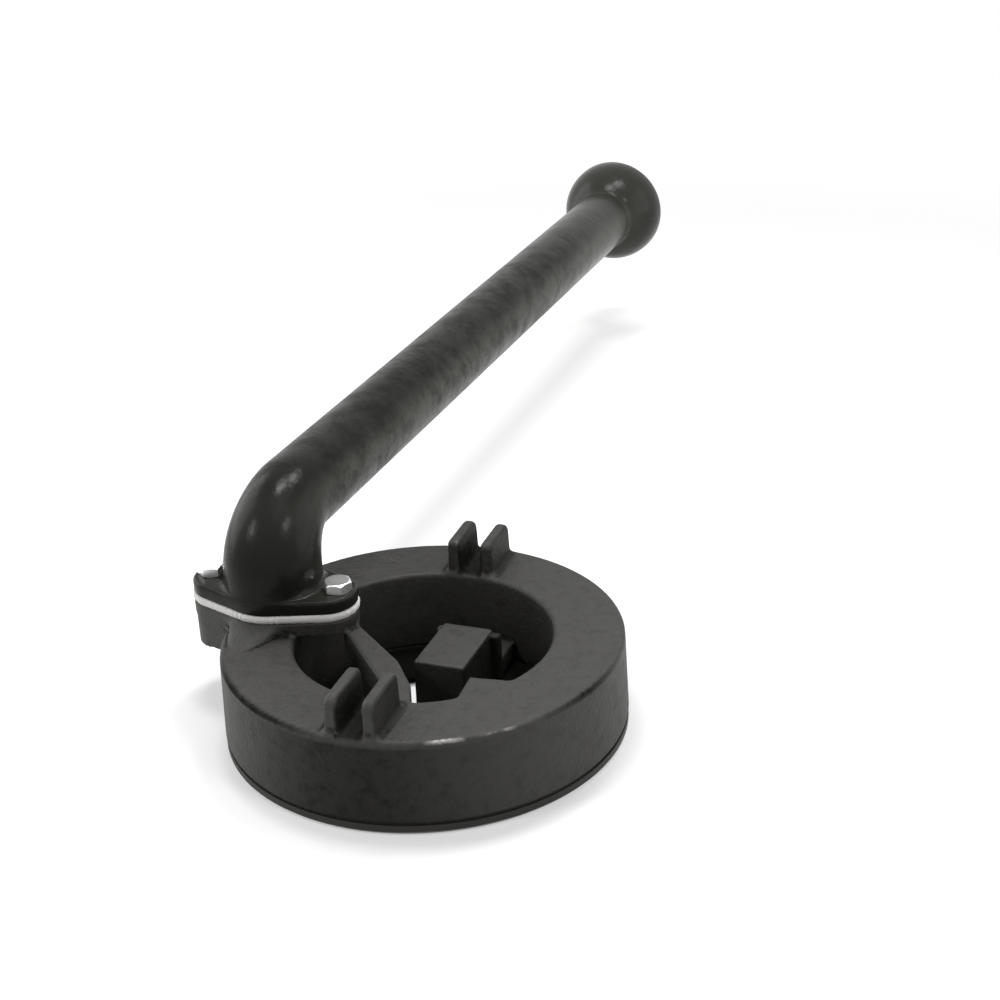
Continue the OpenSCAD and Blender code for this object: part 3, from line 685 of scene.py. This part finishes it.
class Wire:
    """A socket of a shader tree. Python's operators on it add Math nodes, so 1 - wire * 2 works."""

    def __init__(self, tree, socket):
        self.tree, self.socket = tree, socket

    def math(self, operation, *values):
        return self.tree.node("Math", {"operation": operation}, dict(enumerate(values)))

    def __add__(self, other):
        return self.math("ADD", self, other)

    def __sub__(self, other):
        return self.math("SUBTRACT", self, other)

    def __rsub__(self, other):
        return self.math("SUBTRACT", other, self)

    def __mul__(self, other):
        return self.math("MULTIPLY", self, other)

    def __pow__(self, other):
        return self.math("POWER", self, other)

    __radd__ = __add__
    __rmul__ = __mul__

    def ramp(self, low, high):
        """0 below low, 1 above high, and a smooth step between them"""
        return self.tree.node("MapRange", {"interpolation_type": "SMOOTHSTEP"},
                              {"Value": self, "From Min": low, "From Max": high}, "Result")


class Finish:
    """A shader tree that is built by calls: a material's, or the world's where that is given. Patterns lie on the
    object's own coordinates, and their sizes are in millimetres."""

    def __init__(self, name, world=None):
        self.material = None if world else bpy.data.materials.new(name)
        owner = world or self.material
        owner.use_nodes = True
        self.tree = owner.node_tree
        self.tree.nodes.clear()
        self.place = self.node("TexCoord", {}, {}, "Object")

    def axes(self):
        """The three coordinates of a point, each a wire of its own, in metres"""
        split = self.node("SeparateXYZ", {}, {0: self.place}).socket.node
        return [Wire(self, split.outputs[axis]) for axis in "XYZ"]

    def seen(self):
        """1 for a ray from the camera, off shiny metal or through glass, else 0"""
        rays = self.node("LightPath", {}, {}).socket.node.outputs
        total = sum(Wire(self, rays[f"Is {kind} Ray"]) for kind in ("Camera", "Glossy", "Transmission"))
        return total.math("MINIMUM", total, 1.0)

    def node(self, kind, choices, sockets, out=0):
        """Any node: its type after the word ShaderNode, its settings, which are set first, and the values or links
        of its sockets"""
        made = self.tree.nodes.new("ShaderNode" + kind)
        for key, value in choices.items():
            setattr(made, key, value)
        for key, value in sockets.items():
            if isinstance(value, Wire):
                self.tree.links.new(value.socket, made.inputs[key])
            else:
                made.inputs[key].default_value = value
        return Wire(self, made.outputs[out]) if len(made.outputs) else None

    def noise(self, size, detail=3.0, rough=0.5, place=None):
        """Noise whose lumps are about size across"""
        return self.node("TexNoise", {}, {"Vector": place or self.place, "Scale": 1 / (size * MM), "Detail": detail,
                                          "Roughness": rough}, "Fac")

    def strands(self, size, detail, stretch):
        """Noise that is drawn out along one axis, for felted fibre and for brushed or turned metal"""
        seat = self.node("Mapping", {}, {"Vector": self.place, "Scale": stretch}, "Vector")
        return self.noise(size, detail, place=seat)

    def pits(self, size):
        """Distance from the middle of the nearest of many cells, each about size across"""
        return self.node("TexVoronoi", {"feature": "SMOOTH_F1"},
                         {"Vector": self.place, "Scale": 1 / (size * MM), "Smoothness": 0.6}, "Distance")

    def attribute(self, name):
        return self.node("Attribute", {"attribute_name": name}, {}, "Fac")

    def mix(self, share, first, second):
        """Colour between two colours"""
        return self.node("Mix", {"data_type": "RGBA"}, {0: share, 6: opaque(first), 7: opaque(second)}, 2)

    def bumps(self, *layers):
        """Normal of a surface that each (height, depth) raises by the depth where its height is 1"""
        normal = {}
        for height, depth in layers:
            sockets = {"Height": height, "Distance": depth * MM, "Strength": 1.0, **normal}
            normal = {"Normal": self.node("Bump", {}, sockets, "Normal")}
        return normal["Normal"]

    def shader(self, tone, rough, normal, shine=0.5, metal=0.0):
        """A Principled shader, whose shine is its specular level"""
        return self.node("BsdfPrincipled", {}, {"Base Color": opaque(tone), "Roughness": rough, "Normal": normal,
                                                "Specular IOR Level": shine, "Metallic": metal})

    def blend(self, share, first, second):
        return self.node("MixShader", {}, {0: share, 1: first, 2: second})

    def surface(self, shader):
        """Ends the tree with a shader"""
        self.node("OutputMaterial", {}, {"Surface": shader})
        return self.material


def opaque(value):
    return value if isinstance(value, Wire) else (*value, 1.0)


def scaled(rgb, factor):
    return tuple(min(1.0, channel * factor) for channel in rgb)


# ---- finishes ----


def cast_iron(name, base, worn):
    """Dull black finish on sand-cast iron: pebbled skin, faint blotches and dust, bare metal on proud edges with a
    painted highlight along part of the front rim, and painted shade that darkens both colour and shine
    """
    f = Finish(name)
    blotch = f.noise(38, 4, 0.6)
    grain = f.noise(1.9, 3, 0.55)
    # Bare metal on worn edges, plus the painted highlight that the edge attribute carries
    wear_and_highlight = (f.attribute("edge") + (f.noise(9, 5, 0.65) - 0.5) * 0.9).ramp(0.45, 0.9) * 0.8
    lighter_share = blotch.ramp(0.3, 0.8) * 0.5 + grain.ramp(0.3, 0.8) * 0.5
    tone = f.mix(lighter_share, scaled(base, 0.75), scaled(base, 1.35))
    tone = f.mix(wear_and_highlight, tone, worn)
    rough = 0.42 + blotch * 0.2 + grain * 0.16 - wear_and_highlight * 0.12
    hill = f.bumps((f.pits(2.3) * 0.6 + grain * 0.9, 0.28), (f.noise(0.6, 2), 0.06), (f.noise(9), 0.5))
    plain_iron = f.shader(tone, rough, hill, 0.48, wear_and_highlight * 0.7)
    # Near-black matt shader for the painted shade and for faint mottling
    darker = f.shader((0.004, 0.004, 0.003), 0.9, hill, 0.05)
    # Painted shade from the mesh attribute, plus faint random mottling
    painted_shade_and_mottle = f.attribute("painted_shade") + f.noise(7, 4, 0.65).ramp(0.45, 0.75) * 0.2
    return f.surface(f.blend(painted_shade_and_mottle.math("MINIMUM", painted_shade_and_mottle, 1.0), plain_iron, darker))


def gloss_paint(name, base):
    """Black paint over a cast surface: shiny, with the casting's grain showing faintly through it. Patches of it are
    matt, fewer towards the bell. Painted sheen lightens it towards the bell, and painted light from the floor lightens
    the tube's lower half."""
    f = Finish(name)
    grain = f.noise(1.3, 3, 0.55)
    blotch = f.noise(45, 4, 0.6)
    dust = (f.noise(0.8, 2) * 0.5 + blotch * 0.6).ramp(0.55, 0.85)
    tone = f.mix(blotch.ramp(0.3, 0.75) * 0.4 + dust * 0.4, base, scaled(base, 2.6))
    x, y, z = f.axes()
    patch = f.noise(14, 5, 0.65).ramp(0.38, 0.68) * 0.4 + f.noise(2.5).ramp(0.5, 0.75) * 0.15
    past_elbow = y.ramp(-0.03, 0.05)
    dimmed = (patch * 0.9 * past_elbow + 0.32 - past_elbow * 0.14) * (1 - y.ramp(0.35, 0.56) * 0.95)
    # Painted sheen: the paint is lighter towards the bell
    tone = f.mix(y.ramp(0.36, 0.54) * 0.7, tone, scaled(base, 4))
    # Painted light from the floor: lighter on the tube's lower half, past the elbow and short of the bell, with a
    # ragged edge and grain
    upper = (z + (blotch - 0.5) * 6 * MM).ramp(AXIS_Z + 4 * MM, AXIS_Z + 16 * MM)
    lighter_share = (1 - upper) * past_elbow * (1 - y.ramp(0.55, 0.58))
    tone = f.mix(lighter_share * (0.75 + grain * 0.25), tone, scaled(base, 8.5))
    hill = f.bumps((f.noise(8), 0.3), (grain, 0.05))
    gloss = f.shader(tone, 0.15 + blotch * 0.1 + grain * 0.06, hill, 0.15)
    matt = f.shader((0.008, 0.008, 0.007), 0.9, hill, 0.03)
    return f.surface(f.blend(dimmed, gloss, matt))


def turned_metal(name, base, rough, stain_colour=None, stretch=(1.0, 60.0, 1.0)):
    """Bright turned or drawn metal: fine lines along the cut, faint stains, softer shine in places"""
    f = Finish(name)
    stain = f.noise(6, 4, 0.6)
    spots = f.noise(1.1, 3, 0.6)
    tone = f.mix((stain * 0.6 + spots * 0.4).ramp(0.42, 0.72) * 0.55, base, stain_colour or scaled(base, 0.62))
    hill = f.bumps((f.strands(9, 2.0, stretch), 0.02), (spots, 0.012))
    return f.surface(f.shader(tone, rough + stain * 0.16, hill, metal=1.0))


def machined_iron(name, base, cast):
    """Iron faced on a lathe on its flame side, with fine rings about its axis and clouds of rust and grey. The
    side away from the flame has the black of the casting, darkened further by painted shade inside the ring's opening."""
    f = Finish(name)
    x, y, z = f.axes()
    radius = (x * x + y * y) ** 0.5
    rings = f.node("TexNoise", {"noise_dimensions": "1D"}, {"W": radius, "Scale": 1 / (0.7 * MM), "Detail": 2.0}, "Fac")
    cloud = f.noise(24, 5, 0.62)
    speck = f.noise(1, 3, 0.6)
    tone = f.mix(cloud.ramp(0.45, 0.8) * 0.45, base, (0.13, 0.095, 0.07))
    tone = f.mix(speck.ramp(0.55, 0.8) * 0.5, tone, scaled(base, 0.4))
    hill = f.bumps((rings, 0.04), (speck, 0.05))
    faced = f.shader(tone, 0.42 + cloud * 0.2, hill, metal=0.35)
    rough = f.shader(cast, 0.55, hill, 0.35)
    # Painted shade: a matt, blacker iron inside the ring's opening
    painted_shade_black = f.shader(scaled(cast, 0.25), 0.9, hill, 0.03)
    inside = 1 - radius.ramp(60 * MM, 70 * MM)
    black = (z + (cloud - 0.5) * 1.5 * MM).ramp(1.2 * MM, 1.9 * MM)
    return f.surface(f.blend(black, faced, f.blend(inside, rough, painted_shade_black)))


def fibre(name, base, darker):
    """Pressed ceramic fibre: matt, with short felted strands and a few grey smudges"""
    f = Finish(name)
    strands = f.strands(2.2, 4.0, (1.0, 1.0, 6.0))
    felt = f.noise(0.5, 3, 0.6)
    smudge = f.noise(11, 4, 0.6).ramp(0.56, 0.78)
    tone = f.mix(smudge * 0.4 + felt.ramp(0.5, 0.8) * 0.15, base, darker)
    hill = f.bumps((strands * 0.6 + felt * 0.6, 0.18))
    return f.surface(f.shader(tone, 0.92, hill))


@cache
def finish(name):
    """The named finish, made the first time it is asked for"""
    c = settings().colours
    maker, *values = {
        "casting_iron": (cast_iron, c.iron, c.iron_worn),
        "tube_paint": (gloss_paint, c.paint),
        "plate_iron": (machined_iron, c.plate, c.iron),
        "white_fibre": (fibre, c.fibre, (0.42, 0.40, 0.37)),
        "grey_fibre": (fibre, (0.03, 0.03, 0.028), (0.012, 0.011, 0.010)),
        "zinc_plate": (turned_metal, c.zinc, 0.26, (0.66, 0.67, 0.70)),
        "spring_steel": (turned_metal, (0.52, 0.52, 0.54), 0.26),
        "turned_brass": (turned_metal, c.brass, 0.2, (0.40, 0.24, 0.09)),
        "soft_copper": (turned_metal, c.copper, 0.3),
        "shutter_steel": (turned_metal, c.sheet, 0.34, None, (40.0, 1.0, 1.0)),
    }[name]
    return maker(name, *values)


# ---- operators ----


class BURNER_OT_casting(Operator):
    """Adds the ring's casting with its lugs, boss, stay, pad and web"""

    bl_idname = "burner.casting"
    bl_label = "Ring casting"

    def execute(self, context):
        s = settings().casting
        form = Casting(s, settings().tube)
        margin = 3 * s.cell
        points, quads = net_surface(form, [v - margin for v in RING_LOW], [v + margin for v in RING_HIGH], s.cell)
        piece = put_piece("ring_casting", [(points, quads, [])], ["ring_body", "ring_stay", "ring_pad"],
                          finish("casting_iron"))
        mark_edges(piece.data, form)
        return {"FINISHED"}


class BURNER_OT_tube(Operator):
    """Adds the mixing tube: flange, elbow, tube and bell in one closed surface"""

    bl_idname = "burner.tube"
    bl_label = "Mixing tube"

    def execute(self, context):
        t, turn = settings().tube, turn_angles(128)
        rows = np.concatenate([flange_rows(t, turn), outer_rows(t, turn), inner_rows(t, turn)])
        put_piece("mixing_tube_casting", [tube_shell(rows)], ["elbow", "mixing_tube", "bell"],
                  finish("tube_paint"), 50)
        return {"FINISHED"}


class BURNER_OT_gasket(Operator):
    """Adds the white gasket with its bulging, uneven cut edge"""

    bl_idname = "burner.gasket"
    bl_label = "White gasket"

    def execute(self, context):
        t, turn = settings().tube, turn_angles(360)
        proud = (GASKET_HIGH.x - GASKET_LOW.x) / 2 - t.flange_length / 2
        outline = flange_radius(turn, t, proud) - settings().fittings.rough_edge * ragged(turn)
        low, high = GASKET_LOW.z, GASKET_HIGH.z
        bulge = (high - low) / 2
        profile = [(t.bore, low)]
        for a in np.radians(np.linspace(-90, 90, 11)):
            profile.append((outline - 0.8 * bulge * (1 - np.cos(a)), low + bulge * (1 + np.sin(a))))
        profile.append((t.bore, high))
        put_piece("white_gasket", [tube_shell(upright(INLET_X, profile, turn))], ["flange_gasket"],
                  finish("white_fibre"), 60)
        return {"FINISHED"}


class BURNER_OT_bolts(Operator):
    """Adds the two bolts of the flange"""

    bl_idname = "burner.bolts"
    bl_label = "Flange bolts"

    def execute(self, context):
        t, f = settings().tube, settings().fittings
        seat = GASKET_HIGH.z + t.flange_thickness
        bolts = [bolt(f, INLET_X + side * t.bolt_span / 2, seat, place) for side, place in ((-1, 0.42), (1, 0.16))]
        put_piece("flange_bolt_pair", bolts, ["flange_bolts"], finish("zinc_plate"), 28)
        return {"FINISHED"}


class BURNER_OT_brass(Operator):
    """Adds the brass holder with its thread, the lock nut and the injector"""

    bl_idname = "burner.brass"
    bl_label = "Brass fittings"

    def execute(self, context):
        for name, shell, node in (("threaded_holder", holder(settings().fittings), "injector_holder"),
                                  ("brass_lock_nut", nut(), "lock_nut"), ("gas_injector", injector(), "injector")):
            put_piece(name, [shell], [node], finish("turned_brass"), 30)
        return {"FINISHED"}


class BURNER_OT_small_parts(Operator):
    """Gives the CAD's own pieces their finishes"""

    bl_idname = "burner.small_parts"
    bl_label = "Small parts"

    def execute(self, context):
        for name, nodes in (
                ("plate_iron", ["port_plate"]), ("tube_paint", ["bell_plate"]), ("shutter_steel", ["air_shutter"]),
                ("spring_steel", ["wave_washer"]), ("soft_copper", ["injector_washer"]),
                ("grey_fibre", ["outer_plate_gasket", "inner_plate_gasket"]),
                ("zinc_plate", ["plate_screws", "plate_dowels", "bell_plate_screws", "shutter_stop_pin",
                                "shutter_washer"])):
            for node in nodes:
                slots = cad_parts[node].material_slots
                if not slots:
                    raise RuntimeError(f"{node} has no material slot")
                for slot in slots:
                    slot.material = finish(name)
        return {"FINISHED"}


def add_floor():
    """A wide floor that is white to the camera and still takes the shadow"""
    reach = 12.0
    corners = reach * np.array([(-1, -1, 0), (1, -1, 0), (1, 1, 0), (-1, 1, 0)])
    mesh = bpy.data.meshes.new("floor")
    mesh.from_pydata(corners, [], [(0, 1, 2, 3)])
    floor = add_object("floor", mesh)
    f = Finish("floor_white")
    x, y, z = f.axes()
    radius = (x * x + y * y) ** 0.5
    far = radius.ramp(0.72, 1.15)
    lit = f.node("BsdfDiffuse", {}, {"Color": (0.74, 0.74, 0.74, 1)})
    # Painted shadow: the floor glows less close round the ring's foot, so the shadow there is deeper
    lift = f.node("Emission", {}, {"Color": f.mix(radius.ramp(0.104, 0.16), (0.33,) * 3, (0.49,) * 3)})
    near = f.node("AddShader", {}, {0: lit, 1: lift})
    white = f.node("Emission", {}, {"Color": (1, 1, 1, 1)})
    mesh.materials.append(f.surface(f.blend(f.seen(), lit, f.blend(far, near, white))))


def add_world(scene, strength):
    """White to the camera, in metal and through glass, an even dim light to all other rays"""
    scene.world = bpy.data.worlds.new("studio_world")
    f = Finish("studio_world", scene.world)
    dim, white = (f.node("Background", {}, {"Color": (1, 1, 1, 1), "Strength": level}) for level in (strength, 1.0))
    f.node("OutputWorld", {}, {"Surface": f.blend(f.seen(), dim, white)})


def add_lamp(name, target, place, size, watts):
    """A square soft lamp at a place, turned to face the target"""
    light = bpy.data.lights.new(name, "AREA")
    light.shape, light.size, light.energy = "SQUARE", size, watts
    lamp = add_object(name, light)
    lamp.location = place
    lamp.rotation_euler = (Vector(place) - target).to_track_quat("Z", "Y").to_euler()


class BURNER_OT_studio(Operator):
    """Adds the white floor, the lamps and the camera"""

    bl_idname = "burner.studio"
    bl_label = "Studio"

    def execute(self, context):
        s = settings().studio
        context.scene.view_settings.view_transform = "Standard"
        add_floor()
        add_world(context.scene, s.room)
        elbow, middle = Vector((-0.075, -0.005, 0.1)), Vector((-0.03, 0.2, 0.06))
        add_lamp("back_lamp", elbow, (0.12, 0.45, 1.05), 0.28, s.back)
        add_lamp("top_lamp", elbow, (0.25, -0.2, 1.1), 0.4, s.top)
        add_lamp("glint_lamp", elbow, (-0.1, 0.16, 1.1), 0.2, s.glint)
        add_lamp("front_left_lamp", elbow, (-0.72, -0.7, 0.85), 0.22, s.front_left)
        add_lamp("front_right_lamp", elbow, (0.77, -0.33, 0.9), 0.22, s.front_right)
        add_lamp("left_lamp", middle, (-1.35, 0.25, 0.6), 1.2, s.left)
        add_lamp("right_lamp", middle, (1.35, 0.55, 0.6), 1.2, s.right)
        data = bpy.data.cameras.new("camera")
        data.lens, (data.shift_x, data.shift_y), data.clip_end = s.lens, s.shift, 50
        context.scene.camera = camera = add_object("camera", data)
        camera.location, camera.rotation_euler = s.place, s.turn
        return {"FINISHED"}


OPERATORS = (BURNER_OT_casting, BURNER_OT_tube, BURNER_OT_gasket, BURNER_OT_bolts, BURNER_OT_brass,
             BURNER_OT_small_parts, BURNER_OT_studio)


class BURNER_PT_panel(Panel):
    """Sizes and steps of the burner"""

    bl_label = "Ring gas burner"
    bl_idname = "BURNER_PT_panel"
    bl_space_type = "VIEW_3D"
    bl_region_type = "UI"
    bl_category = "Burner"

    def draw(self, context):
        for part in BurnerSettings.__annotations__:
            group, box = getattr(settings(), part), self.layout.box()
            for key in group.__annotations__:
                box.prop(group, key)
        for operator in OPERATORS:
            self.layout.operator(operator.bl_idname)


CLASSES = (CastingSizes, TubeSizes, FittingSizes, FinishColours, StudioSettings, BurnerSettings,
           *OPERATORS, BURNER_PT_panel)


def register():
    for each in CLASSES:
        bpy.utils.register_class(each)
    bpy.types.Scene.ring_burner = PointerProperty(type=BurnerSettings)


def unregister():
    del bpy.types.Scene.ring_burner
    for each in reversed(CLASSES):
        bpy.utils.unregister_class(each)


def main():
    register()
    bpy.ops.burner.casting()
    bpy.ops.burner.tube()
    bpy.ops.burner.gasket()
    bpy.ops.burner.bolts()
    bpy.ops.burner.brass()
    bpy.ops.burner.small_parts()
    bpy.ops.burner.studio()


if __name__ == "__main__":
    main()
